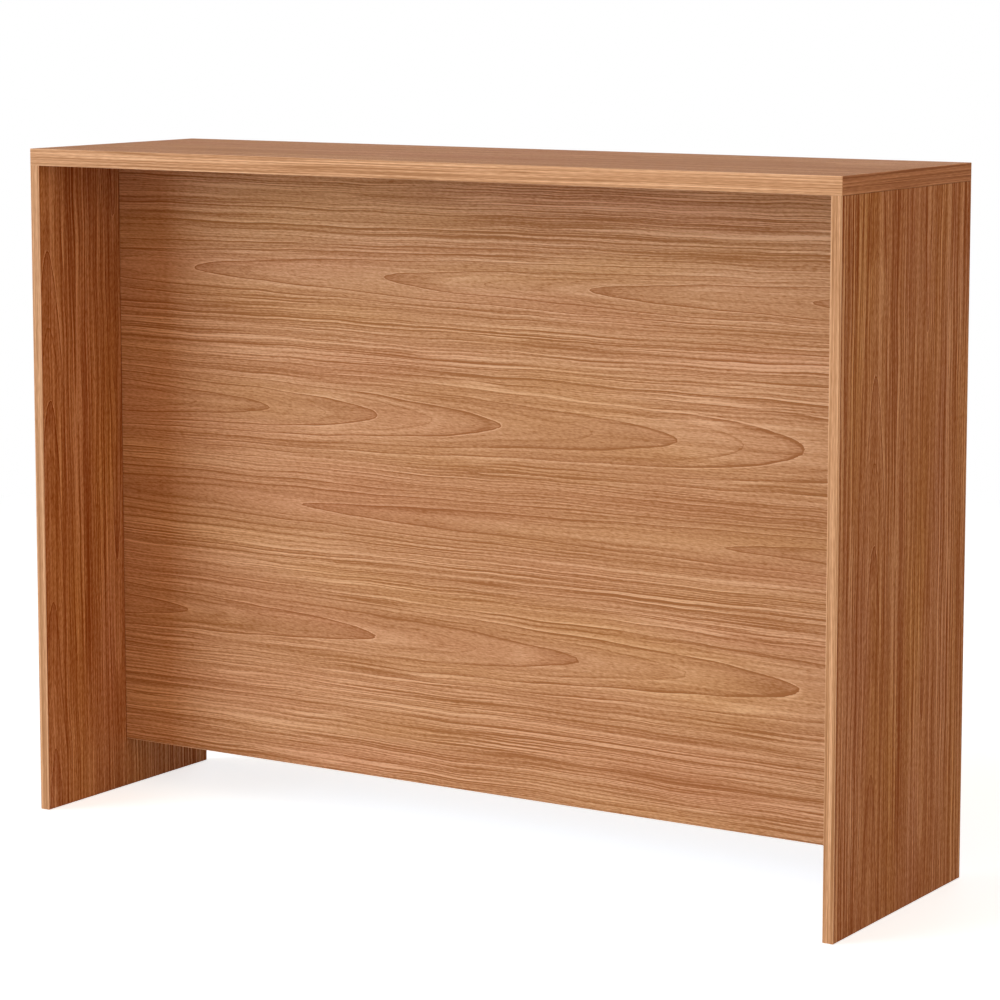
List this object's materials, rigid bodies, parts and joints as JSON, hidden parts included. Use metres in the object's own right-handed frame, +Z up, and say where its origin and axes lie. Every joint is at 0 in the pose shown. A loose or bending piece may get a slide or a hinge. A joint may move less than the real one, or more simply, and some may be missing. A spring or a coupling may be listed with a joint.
{
  "type": "breakfast bar",
  "caption": "Free-standing panel breakfast bar: thick top over full-depth side panels, with an upright centre panel that stops short of the floor.",
  "frame": {"origin": "on the floor, under the middle of the top", "axes": "+X along the width, -Y towards the pictured front, +Z up"},
  "size_m": [1.34, 0.39, 1],
  "materials": {
    "wood_decor_board": "satin wood-decor melamine on chipboard",
    "edge_band": "satin wood-decor plastic edging",
    "zinc_cam": "plain die-cast zinc",
    "steel_bolt": "bright zinc-plated",
    "beech_dowel": "bare fluted beech"
  },
  "bodies": {
    "root": {"centre_bottom_band": "edge_band", "centre_panel": "wood_decor_board", "left_corner_bolt": "steel_bolt", "left_corner_dowels": "beech_dowel", "left_joint_bolts": "steel_bolt", "left_joint_dowels": "beech_dowel", "left_side_back_band": "edge_band", "left_side_foot_band": "edge_band", "left_side_front_band": "edge_band", "left_side_panel": "wood_decor_board", "right_corner_bolt": "steel_bolt", "right_corner_dowels": "beech_dowel", "right_joint_bolts": "steel_bolt", "right_joint_dowels": "beech_dowel", "right_side_back_band": "edge_band", "right_side_foot_band": "edge_band", "right_side_front_band": "edge_band", "right_side_panel": "wood_decor_board", "top_back_band": "edge_band", "top_front_band": "edge_band", "top_joint_bolts": "steel_bolt", "top_joint_dowels": "beech_dowel", "top_left_band": "edge_band", "top_panel": "wood_decor_board", "top_right_band": "edge_band"},
    "left_cam_low": {"left_cam_low": "zinc_cam"},
    "right_cam_low": {"right_cam_low": "zinc_cam"},
    "left_cam_mid": {"left_cam_mid": "zinc_cam"},
    "right_cam_mid": {"right_cam_mid": "zinc_cam"},
    "left_cam_high": {"left_cam_high": "zinc_cam"},
    "right_cam_high": {"right_cam_high": "zinc_cam"},
    "top_cam_left": {"top_cam_left": "zinc_cam"},
    "top_cam_mid": {"top_cam_mid": "zinc_cam"},
    "top_cam_right": {"top_cam_right": "zinc_cam"},
    "left_corner_cam": {"left_corner_cam": "zinc_cam"},
    "right_corner_cam": {"right_corner_cam": "zinc_cam"}
  },
  "joints": [
    {"name": "left_cam_low_turn", "type": "hinge", "parent": "root", "child": "left_cam_low", "pos_m": [-0.62, 0.008, 0.165], "axis": [0, 1, 0], "range_deg": [0, 180]},
    {"name": "right_cam_low_turn", "type": "hinge", "parent": "root", "child": "right_cam_low", "pos_m": [0.62, 0.008, 0.165], "axis": [0, 1, 0], "range_deg": [0, 180]},
    {"name": "left_cam_mid_turn", "type": "hinge", "parent": "root", "child": "left_cam_mid", "pos_m": [-0.62, 0.008, 0.525], "axis": [0, 1, 0], "range_deg": [0, 180]},
    {"name": "right_cam_mid_turn", "type": "hinge", "parent": "root", "child": "right_cam_mid", "pos_m": [0.62, 0.008, 0.525], "axis": [0, 1, 0], "range_deg": [0, 180]},
    {"name": "left_cam_high_turn", "type": "hinge", "parent": "root", "child": "left_cam_high", "pos_m": [-0.62, 0.008, 0.885], "axis": [0, 1, 0], "range_deg": [0, 180]},
    {"name": "right_cam_high_turn", "type": "hinge", "parent": "root", "child": "right_cam_high", "pos_m": [0.62, 0.008, 0.885], "axis": [0, 1, 0], "range_deg": [0, 180]},
    {"name": "top_cam_left_turn", "type": "hinge", "parent": "root", "child": "top_cam_left", "pos_m": [-0.444, 0.008, 0.941], "axis": [0, 1, 0], "range_deg": [0, 180]},
    {"name": "top_cam_mid_turn", "type": "hinge", "parent": "root", "child": "top_cam_mid", "pos_m": [0, 0.008, 0.941], "axis": [0, 1, 0], "range_deg": [0, 180]},
    {"name": "top_cam_right_turn", "type": "hinge", "parent": "root", "child": "top_cam_right", "pos_m": [0.444, 0.008, 0.941], "axis": [0, 1, 0], "range_deg": [0, 180]},
    {"name": "left_corner_cam_turn", "type": "hinge", "parent": "root", "child": "left_corner_cam", "pos_m": [-0.654, 0.145, 0.941], "axis": [1, 0, 0], "range_deg": [0, 180]},
    {"name": "right_corner_cam_turn", "type": "hinge", "parent": "root", "child": "right_corner_cam", "pos_m": [0.654, 0.145, 0.941], "axis": [-1, 0, 0], "range_deg": [0, 180]}
  ]
}
